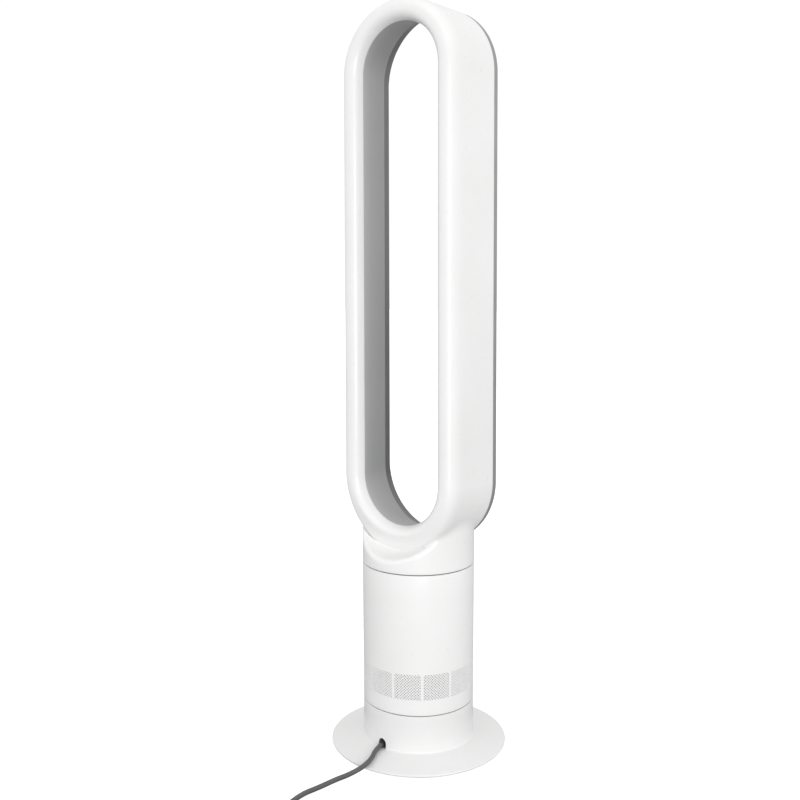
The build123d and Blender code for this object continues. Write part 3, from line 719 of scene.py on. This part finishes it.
def nets(fn, lo, hi, step):
    """Surface nets: one vertex in each cell the surface passes through, one quad across each crossed edge."""
    ax = [np.arange(lo[i], hi[i] + step * 0.5, step) for i in range(3)]
    sx, sy, sz = (len(a) for a in ax)
    G = np.stack(np.meshgrid(*ax, indexing="ij"), -1).reshape(-1, 3)
    F = fn(G).reshape(sx, sy, sz)
    inside = F < 0
    cell = np.zeros((sx - 1, sy - 1, sz - 1), int)
    tot = np.zeros((sx - 1, sy - 1, sz - 1, 3))
    cnt = np.zeros((sx - 1, sy - 1, sz - 1))
    base = np.stack(np.meshgrid(*(a[:-1] for a in ax), indexing="ij"), -1)
    off = [(a, b, c) for a in (0, 1) for b in (0, 1) for c in (0, 1)]

    def part(A, o):
        return A[o[0]:sx - 1 + o[0], o[1]:sy - 1 + o[1], o[2]:sz - 1 + o[2]]

    for a in off:
        for axis in range(3):
            if a[axis]:
                continue
            b = list(a)
            b[axis] = 1
            fa, fb = part(F, a), part(F, b)
            cross = (fa < 0) != (fb < 0)
            t = np.where(cross, fa / np.where(cross, fa - fb, 1.0), 0.0)
            pos = np.array(a, float)[None, None, None, :] * step + base
            pos = np.repeat(pos, 1, 0).copy()
            pos[..., axis] += t * step
            tot += pos * cross[..., None]
            cnt += cross
    used = cnt > 0
    cell[used] = np.arange(used.sum())
    cell[~used] = -1
    verts = tot[used] / cnt[used][:, None]
    faces = []
    for axis in range(3):
        o1, o2 = [(1, 2), (2, 0), (0, 1)][axis]
        sl_a = [slice(1, -1)] * 3
        sl_a[axis] = slice(0, -1)
        sl_b = [slice(1, -1)] * 3
        sl_b[axis] = slice(1, None)
        fa, fb = inside[tuple(sl_a)], inside[tuple(sl_b)]
        idx = np.argwhere(fa != fb)
        flip = fa[tuple(idx.T)]
        pos = idx.copy()
        for k in range(3):
            if k != axis:
                pos[:, k] += 1

        def at(d1, d2):
            q = pos.copy()
            q[:, o1] -= d1
            q[:, o2] -= d2
            return cell[tuple(q.T)]

        quad = np.stack([at(0, 0), at(1, 0), at(1, 1), at(0, 1)], 1)
        quad[~flip] = quad[~flip][:, ::-1]
        faces.append(quad)
    return verts, np.vstack(faces)


STEP = 1.5
cv, cf = nets(field, (-98.0, -84.0, 254.0), (98.0, 84.0, 352.0), STEP)
for _ in range(4):
    g = grad(field, cv)
    cv = cv - g * (field(cv) / np.maximum((g * g).sum(1), 0.05))[:, None]
up_ = d_casing(cv)                               # how far the blend stands out of the casing
n_v = np.where(cv[:, 2] < SPINE_LO, np.hypot(cv[:, 0], cv[:, 2] - SPINE_LO), np.abs(cv[:, 0]))
region = (n_v > NC - 12.0) & ((cv[:, 1] > YC + 1.0) | (n_v > NC + 3.0))
keep_f = (up_ > 0.02)[cf].any(1) & region[cf].all(1)
cf = cf[keep_f]
sunk = up_ <= 0.02                               # the mesh's edge dips into the casing, so that no gap shows
g = grad(field, cv[sunk])
cv[sunk] -= 0.3 * g / np.maximum(np.linalg.norm(g, axis=1), 1e-6)[:, None]
used = np.unique(cf)
remap = -np.ones(len(cv), int)
remap[used] = np.arange(len(used))
cv, cf = cv[used], remap[cf]
cn = grad(field, cv)
cn = cn / np.linalg.norm(cn, axis=1)[:, None]

# the collar's straight foot, with a small round at the seam
foot_prof = [(COLLAR_R - WALL, COLLAR_BOT), (COLLAR_R - 0.9, COLLAR_BOT), (COLLAR_R - 0.4, COLLAR_BOT + 0.08), (COLLAR_R - 0.1, COLLAR_BOT + 0.4), (COLLAR_R, COLLAR_BOT + 1.0), (COLLAR_R, 256.4)]
kv, kf = lathe(foot_prof, 288, closed=False)
kin, kif = lathe([(COLLAR_R - WALL, COLLAR_BOT), (COLLAR_R - WALL, 262.0)], 288, closed=False)


def loop_casing():
    """Casing, collar and blend as one mesh."""
    me = bpy.data.meshes.new("loop_casing")
    parts = [(w_verts, w_faces), (cv.tolist(), cf.tolist()), (kv, kf), (kin, kif)]
    verts, faces = [], []
    for pv, pf in parts:
        b = len(verts)
        verts += [(x * MM, y * MM, z * MM) for x, y, z in pv]
        faces += [tuple(int(i) + b for i in q) for q in pf]
    me.from_pydata(verts, [], faces)
    return me, len(w_verts), len(cv)


loop_me, n_w, n_c = loop_casing()
# every part is wound so that its faces look outward
bm = bmesh.new()
bm.from_mesh(loop_me)
bm.verts.ensure_lookup_table()
seen = set()
for v0 in bm.verts:
    if v0.index in seen:
        continue
    stack, isl = [v0], []
    seen.add(v0.index)
    while stack:
        q = stack.pop()
        isl.append(q)
        for e in q.link_edges:
            o = e.other_vert(q)
            if o.index not in seen:
                seen.add(o.index)
                stack.append(o)
    fs = {fc for q in isl for fc in q.link_faces}
    if len(isl) > 40:
        bmesh.ops.recalc_face_normals(bm, faces=list(fs))
bm.to_mesh(loop_me)
bm.free()
loop_obj = finish_piece("loop_casing", loop_me, ["white"], "head", ("loop_outer_shell",), 40.0)

# grey inner casing, its flared front given a near-black painted shade band, and silver rim, one piece
silver = [(LOOP_N - 0.35, BAND_Y), (LOOP_N - 0.08, BAND_Y - 0.12), (LOOP_N, BAND_Y - 0.45), (LOOP_N, -47.0), (LOOP_N, -50.4),
          (93.62, -51.3), (93.2, -52.1), (92.6, -52.6), (92.0, YF), (91.55, -52.6), (91.2, -52.1), (90.6, -50.6)]
wall = [(84.2 + (90.6 - 84.2) * t, -32.6 + (-50.6 + 32.6) * t) for t in (0.85, 0.6, 0.35, 0.15, 0.0)]
wall2 = [(84.2 + (67.9 - 84.2) * t, -32.6 + (37.0 + 32.6) * t) for t in (0.02, 0.1, 0.25, 0.4, 0.55, 0.7, 0.85, 1.0)]
tail = [(67.82, 39.5), (67.9, 41.2), (68.2, 42.0), (68.9, 42.4), (69.6, 42.0), (69.9, 41.4), (70.3, 37.4), (86.6, -33.3), (89.3, -40.2), (91.3, -40.2), (91.3, BAND_Y)]
sec_s = silver + wall + wall2 + tail
s_verts, s_faces, n_st = sweep_loop(sec_s)
idx = []
for i in range(n_st):
    for j in range(len(sec_s)):
        y_mid = (sec_s[j][1] + sec_s[(j + 1) % len(sec_s)][1]) / 2
        if j < len(silver) - 1:
            idx.append(0)
        # the flared front of the wall takes the near-black painted shade band
        elif j < len(silver) + len(wall) - 1:
            idx.append(2)
        else:
            idx.append(1)
rim_me = bpy.data.meshes.new("loop_inner_casing")
rim_me.from_pydata([(x * MM, y * MM, z * MM) for x, y, z in s_verts], [], s_faces)
rim_me.polygons.foreach_set("material_index", np.asarray(idx, np.int32))
recalc(rim_me)
rim_obj = finish_piece("loop_inner_casing", rim_me, ["silver", "grey_inner", "painted_shade_band"], "head", ("loop_inner_shell",), 28.0)


# ------------------------------------------------------------------ mains cord, its coil, tie and plug
ROUTE = [(0.0047, 0.0780, 0.0160), (0.0031, 0.0919, 0.0142), (-0.0037, 0.1065, 0.0116), (-0.0051, 0.1269, 0.0076), (0.0016, 0.1504, 0.0040),
         (0.0069, 0.1649, 0.0033), (0.0108, 0.1942, 0.0033), (0.0166, 0.2201, 0.0033), (0.0116, 0.2540, 0.0033), (0.0146, 0.2840, 0.0033),
         (0.0156, 0.3030, 0.0033)]
COIL_C = (-0.0267, 0.3080)


def coil_points():
    """Turns beside and on each other: three columns, two full rows and half a turn on top."""
    cols = [0.0426, 0.0362, 0.0298, 0.0298, 0.0362, 0.0426, 0.0426]
    rows = [0.0033, 0.0033, 0.0033, 0.0097, 0.0097, 0.0097, 0.0161]
    per = 16
    grow = 1.0 / math.cos(math.pi / per) ** 0.75
    start = -7.0
    out = []
    total = 6.43
    k = 1
    while k / per <= total:
        t = k / per
        n = int(t)
        f_ = t - n
        r, z = cols[n], rows[n]
        if n + 1 < len(cols) and f_ > 0.87:
            w = (f_ - 0.87) / 0.26
            w = w * w * (3 - 2 * w)
            r += (cols[n + 1] - r) * w
            z += (rows[n + 1] - z) * w
        if n > 0 and f_ < 0.13:
            w = (f_ + 0.13) / 0.26
            w = w * w * (3 - 2 * w)
            r = cols[n - 1] + (cols[n] - cols[n - 1]) * w
            z = rows[n - 1] + (rows[n] - rows[n - 1]) * w
        a = math.radians(start + 360.0 * t)
        out.append((COIL_C[0] + r * grow * math.cos(a), COIL_C[1] + r * grow * math.sin(a), z))
        k += 1
    return out


CP = ROUTE + coil_points()
CP += [(-0.0729, 0.3150, 0.0142), (-0.0751, 0.3030, 0.0112), (-0.0751, 0.2920, 0.0086), (-0.0747, 0.2815, 0.0072), (-0.0753, 0.2720, 0.0068)]
curve = bpy.data.curves.new("mains_cord", "CURVE")
curve.dimensions = "3D"
sp = curve.splines.new("NURBS")
sp.points.add(len(CP) - 1)
for q, (x, y, z) in zip(sp.points, CP):
    q.co = (x, y, z, 1.0)
sp.order_u = 3
sp.use_endpoint_u = True
sp.resolution_u = 8
curve.bevel_depth = CORD_D / 2 * MM
curve.bevel_resolution = 5
curve.use_fill_caps = True
curve.materials.append(MAT["cord"])
cord = bpy.data.objects.new("mains_cord", curve)
scene.collection.objects.link(cord)
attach(cord, "base")
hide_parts("cord_tube", "cord_coil", "cord_tail")



# ------------------------------------------------------------------ small pieces: button, window, strain relief, plug, tie
def join(parts):
    verts, faces, mats = [], [], []
    for pv, pf, mi in parts:
        b = len(verts)
        verts += list(pv)
        faces += [tuple(i + b for i in q) for q in pf]
        mats += list(mi) if hasattr(mi, "__len__") else [mi] * len(pf)
    return verts, faces, mats


def turned(profile, place, axis, seg=64, mi=0):
    """Profile of (along, radius) from tip to tip, turned about an axis; both ends are closed with a fan."""
    ax = Vector(axis).normalized()
    side = ax.orthogonal().normalized()
    up = ax.cross(side)
    o = Vector(place)
    verts, faces, mats = [], [], []
    mi = mi if hasattr(mi, "__len__") else [mi] * (len(profile) + 1)
    n = len(profile)
    for t, r in profile:
        for i in range(seg):
            a = 2 * math.pi * i / seg
            verts.append(tuple(o + ax * t + (side * math.cos(a) + up * math.sin(a)) * r))
    for j in range(n - 1):
        for i in range(seg):
            i2 = (i + 1) % seg
            faces.append((j * seg + i, j * seg + i2, (j + 1) * seg + i2, (j + 1) * seg + i))
            mats.append(mi[j + 1])
    for j, k in ((0, 0), (n - 1, n)):
        c = len(verts)
        verts.append(tuple(o + ax * profile[j][0]))
        for i in range(seg):
            faces.append((j * seg + i, j * seg + (i + 1) % seg, c))
            mats.append(mi[k])
    return verts, faces, mats


def solid_piece(name, parts, mats, body, stands_for, angle=35.0):
    verts, faces, mi = join(parts)
    me = bpy.data.meshes.new(name)
    me.from_pydata([(x * MM, y * MM, z * MM) for x, y, z in verts], [], faces)
    me.polygons.foreach_set("material_index", np.asarray(mi, np.int32))
    recalc(me)
    return finish_piece(name, me, mats, body, stands_for, angle)


# power button: dished face with an inlaid ring, its flange and its stem
cap = [(-75.98, 0.6), (-75.99, 1.6), (-76.02, 2.3), (-76.04, 2.95), (-76.10, 4.2), (-76.22, 5.6), (-76.32, 6.4), (-76.30, 6.9), (-76.12, 7.35), (-75.8, 7.6), (-75.3, 7.7),
       (-72.3, 7.7), (-72.3, 9.2), (-72.1, 9.4), (-71.1, 9.4), (-70.9, 9.2), (-70.9, 2.2), (-65.9, 2.2), (-65.6, 1.9)]
ring_mi = [1] * 7 + [0] * (len(cap) - 6)        # silver face, white edge and stem
ring_mi[3] = 0
solid_piece("power_button_cap", [turned(cap, (0, 0, BUTTON_Z), (0, 1, 0), 64, ring_mi)], ["white", "silver"], "button", ("power_button",), 40.0)


def window_lens():
    """Smoked lens that follows the cover's curve, with a rounded edge."""
    seg = 64
    rings = [(2.5, 0.05), (5.0, 0.05), (7.4, 0.05), (8.3, 0.06), (8.8, 0.13), (9.08, 0.3), (9.2, 0.7), (9.2, 2.3), (4.5, 2.3)]
    verts = []
    for rr, d in rings:
        for i in range(seg):
            a = 2 * math.pi * i / seg
            x, z = rr * math.cos(a), 150 + rr * math.sin(a)
            verts.append((x, -math.sqrt((body_r(z) - d) ** 2 - x * x), z))
    faces = [(j * seg + i, j * seg + (i + 1) % seg, (j + 1) * seg + (i + 1) % seg, (j + 1) * seg + i) for j in range(len(rings) - 1) for i in range(seg)]
    c0, c1 = len(verts), len(verts) + 1
    verts += [(0, -(body_r(150) - 0.05), 150), (0, -(body_r(150) - 2.3), 150)]
    faces += [(i, (i + 1) % seg, c0) for i in range(seg)] + [((len(rings) - 1) * seg + i, (len(rings) - 1) * seg + (i + 1) % seg, c1) for i in range(seg)]
    return verts, faces, 0


solid_piece("display_lens", [window_lens()], ["window"], "head", ("display_window",), 40.0)


def arch_plate(y0, y1, grow):
    """Arch-shaped plate with a small chamfer on its rear edge."""
    out = []
    for g, y in ((grow - 0.3, y0), (grow, y0 + 0.3), (grow, y1 - 0.5), (grow - 0.5, y1)):
        r = NOTCH_W / 2 + g
        zb = NOTCH_LO - g if grow > 0 else NOTCH_LO + 0.15 - (g - grow)
        out.append([(NOTCH_X - r, y, zb), (NOTCH_X + r, y, zb)] + [(x, y, z) for x, z in arc(NOTCH_X, NOTCH_HI - NOTCH_W / 2, r, 0, 180, 24)])
    n = len(out[0])
    verts = [q for row in out for q in row]
    faces = [tuple(range(n)), tuple(range(4 * n - 1, 3 * n - 1, -1))]
    for j in range(3):
        faces += [(j * n + i, j * n + (i + 1) % n, (j + 1) * n + (i + 1) % n, (j + 1) * n + i) for i in range(n)]
    return verts, faces, 0


def relief():
    """Tapered strain relief with ring grooves, 30 mm long."""
    def cone_r(y):
        return 6.6 - 2.5 * (y - 48.0) / 30.0
    prof = [(48.0, 5.9), (48.5, cone_r(48.5))]
    y = 50.0
    while y < 77.0:
        prof += [(y, cone_r(y)), (y + 0.15, cone_r(y) - 0.55), (y + 0.95, cone_r(y) - 0.58), (y + 1.1, cone_r(y + 1.1))]
        y += 2.6
    prof += [(77.5, cone_r(77.5)), (77.85, cone_r(78) - 0.25), (78.0, 3.4)]
    return turned(prof, (4.7, 0, 16.0), (0, 1, 0), 48, 0)


solid_piece("cord_strain_relief", [arch_plate(67.5, 73.4, -0.15), arch_plate(62.5, 67.6, 2.0), relief()], ["black"], "base", ("cord_grommet",), 40.0)

PDIR = math.atan2(272.0 - 281.5, -75.3 + 72.5)


def plug_at(x, y, z):
    return (-75.3 + x * math.cos(PDIR) - y * math.sin(PDIR), 272.0 + x * math.sin(PDIR) + y * math.cos(PDIR), z)


def plug_shell():
    """Lofted plug: ribbed sleeve on the cord, shoulders, a flat oval body and a rounded face."""
    rows = [(0.0, 3.6, 3.6, 2.0), (0.3, 4.2, 4.2, 2.0)]
    for k in range(4):
        x = 1.2 + 2.0 * k
        g = 4.35 + 0.14 * k
        rows += [(x, g, g, 2.0), (x + 0.15, g - 0.6, g - 0.6, 2.0), (x + 0.8, g - 0.6, g - 0.6, 2.0), (x + 0.95, g + 0.05, g + 0.05, 2.0)]
    rows += [(9.4, 5.3, 5.1, 2.1), (11.0, 6.6, 5.5, 2.3), (13.0, 8.6, 6.0, 2.6), (15.5, 10.6, 6.4, 3.0), (18.5, 11.8, 6.65, 3.3), (22.0, 12.3, 6.78, 3.5),
             (27.0, 12.45, 6.8, 3.6), (31.5, 12.4, 6.75, 3.6), (33.0, 12.15, 6.5, 3.5), (33.7, 11.7, 6.05, 3.4), (34.0, 11.0, 5.4, 3.3)]
    seg = 72
    verts = []
    for x, hw, hh, p_ in rows:
        for i in range(seg):
            a = 2 * math.pi * i / seg
            c, s_ = math.cos(a), math.sin(a)
            verts.append(plug_at(x, hw * math.copysign(abs(c) ** (2 / p_), c), 6.8 + hh * math.copysign(abs(s_) ** (2 / p_), s_)))
    n = len(rows)
    faces = [(j * seg + i, j * seg + (i + 1) % seg, (j + 1) * seg + (i + 1) % seg, (j + 1) * seg + i) for j in range(n - 1) for i in range(seg)]
    c0 = len(verts)
    verts += [plug_at(0, 0, 6.8), plug_at(34.0, 0, 6.8)]
    faces += [(i, (i + 1) % seg, c0) for i in range(seg)] + [((n - 1) * seg + i, (n - 1) * seg + (i + 1) % seg, c0 + 1) for i in range(seg)]
    return verts, faces, 0


plug_ob = solid_piece("plug_moulding", [plug_shell()], ["black"], "base", ("plug_body",), 40.0)
pin_prof = [(0.0, 1.9), (9.4, 1.9), (9.7, 1.7), (9.9, 1.98), (16.9, 1.98), (17.9, 1.8), (18.6, 1.35), (18.95, 0.7)]
pin_mi = [0, 0, 0, 1, 1, 1, 1, 1, 1]
pins = [turned(pin_prof, plug_at(34.0, s_ * 9.2, 6.8), (math.cos(PDIR), math.sin(PDIR), 0), 32, pin_mi) for s_ in (-1, 1)]
pins_ob = solid_piece("plug_contacts", pins, ["black", "steel"], "base", ("plug_pins",), 40.0)


def tie_band():
    """Flat strap over the coil, with rounded shoulders and rolled edges."""
    a0 = math.radians(118.0)
    path = [(25.3, 0.05)] + [(25.3, z) for z in (4.0, 9.0, 14.0, 17.6)] + [(28.3 + 3.0 * math.cos(t), 17.6 + 3.0 * math.sin(t)) for t in (math.radians(180 - 15 * k) for k in range(1, 7))] \
        + [(32.0, 20.65), (36.2, 20.7), (40.4, 20.65)] + [(44.1 + 3.0 * math.cos(t), 17.6 + 3.0 * math.sin(t)) for t in (math.radians(90 - 15 * k) for k in range(0, 7))] \
        + [(47.1, z) for z in (14.0, 9.0, 4.0, 0.05)]
    cx, cz = 36.2, 9.0
    cross = [(-2.9, 0.25), (-2.6, 0.0), (2.6, 0.0), (2.9, 0.25), (2.9, 0.95), (2.6, 1.15), (-2.6, 1.15), (-2.9, 0.95)]
    verts = []
    for k, (r, z) in enumerate(path):
        q0, q1 = path[max(k - 1, 0)], path[min(k + 1, len(path) - 1)]
        tx, tz = q1[0] - q0[0], q1[1] - q0[1]
        L = math.hypot(tx, tz)
        nx, nz = tz / L, -tx / L                     # towards the coil
        for w, d in cross:
            rr, zz = r + nx * d, z + nz * d
            verts.append((COIL_C[0] / MM + rr * math.cos(a0) - w * math.sin(a0), COIL_C[1] / MM + rr * math.sin(a0) + w * math.cos(a0), max(zz, 0.02)))
    n = len(cross)
    faces = [(j * n + i, j * n + (i + 1) % n, (j + 1) * n + (i + 1) % n, (j + 1) * n + i) for j in range(len(path) - 1) for i in range(n)]
    faces += [tuple(range(n)), tuple(range(len(path) * n - 1, (len(path) - 1) * n - 1, -1))]
    return verts, faces, 0


tie_ob = solid_piece("coil_strap", [tie_band()], ["rubber"], "base", ("cord_tie",), 40.0)


# ------------------------------------------------------------------ floor and light
def floor():
    me = bpy.data.meshes.new("floor")
    me.from_pydata([(-15, -15, 0), (15, -15, 0), (15, 15, 0), (-15, 15, 0)], [], [(0, 1, 2, 3)])
    m, nt, p = new_mat("pale_floor")
    v = coords(nt)
    nt.links.new(ramp(nt, noise(nt, v, 3.0), [(0.3, grey(0.36)), (0.7, grey(0.38))]), p.inputs["Base Color"])
    p.inputs["Roughness"].default_value = 0.9
    p.inputs["Specular IOR Level"].default_value = 0.0
    p.inputs["Emission Color"].default_value = (1, 1, 1, 1)
    # painted glow: the floor emits light onto the object, weaker near it as a painted shade round the foot; to the
    # camera it shows white
    path = nt.nodes.new("ShaderNodeLightPath")
    glow = math_node(nt, "MULTIPLY_ADD", path.outputs["Is Camera Ray"], 0.92)
    dist = nt.nodes.new("ShaderNodeVectorMath")          # the pale floor is brighter away from the object
    dist.operation = "LENGTH"
    nt.links.new(v, dist.inputs[0])
    far = math_node(nt, "MULTIPLY", ramp(nt, dist.outputs["Value"], [(0.22, grey(0.0)), (0.55, grey(1.0))]), 0.09)
    nt.links.new(math_node(nt, "ADD", far, 0.03), glow.node.inputs[2])
    nt.links.new(glow, p.inputs["Emission Strength"])
    me.materials.append(m)
    ob = bpy.data.objects.new("floor", me)
    scene.collection.objects.link(ob)
    return ob


floor()
world = bpy.data.worlds.new("studio")
world.use_nodes = True
wn = world.node_tree
for n_ in list(wn.nodes):
    wn.nodes.remove(n_)
w_out = wn.nodes.new("ShaderNodeOutputWorld")
w_mix = wn.nodes.new("ShaderNodeMixShader")
w_path = wn.nodes.new("ShaderNodeLightPath")
w_see = wn.nodes.new("ShaderNodeBackground")
w_lit = wn.nodes.new("ShaderNodeBackground")
w_see.inputs[0].default_value = (1, 1, 1, 1)
w_see.inputs[1].default_value = 1.05
w_lit.inputs[0].default_value = (1, 1, 1, 1)
w_lit.inputs[1].default_value = 0.94
wn.links.new(w_path.outputs["Is Camera Ray"], w_mix.inputs[0])
wn.links.new(w_lit.outputs[0], w_mix.inputs[1])
wn.links.new(w_see.outputs[0], w_mix.inputs[2])
wn.links.new(w_mix.outputs[0], w_out.inputs[0])
scene.world = world


def area(name, place, target, size, power):
    d = bpy.data.lights.new(name, "AREA")
    d.shape = "RECTANGLE"
    d.size, d.size_y = size
    d.energy = power
    o = bpy.data.objects.new(name, d)
    scene.collection.objects.link(o)
    o.location = place
    o.rotation_mode = "QUATERNION"
    o.rotation_quaternion = (Vector(target) - Vector(place)).to_track_quat("-Z", "Y")
    return o


area("key", (-2.45, 2.72, 0.60), (0.0, 0.0, 0.4), (1.2, 1.1), 50.0)
area("top", (-0.6, 2.6, 4.6), (0.0, 0.0, 0.4), (3.0, 3.0), 9.0)
area("side", (-2.0, -2.25, 1.2), (0.0, 0.0, 0.5), (1.4, 2.0), 3.0)
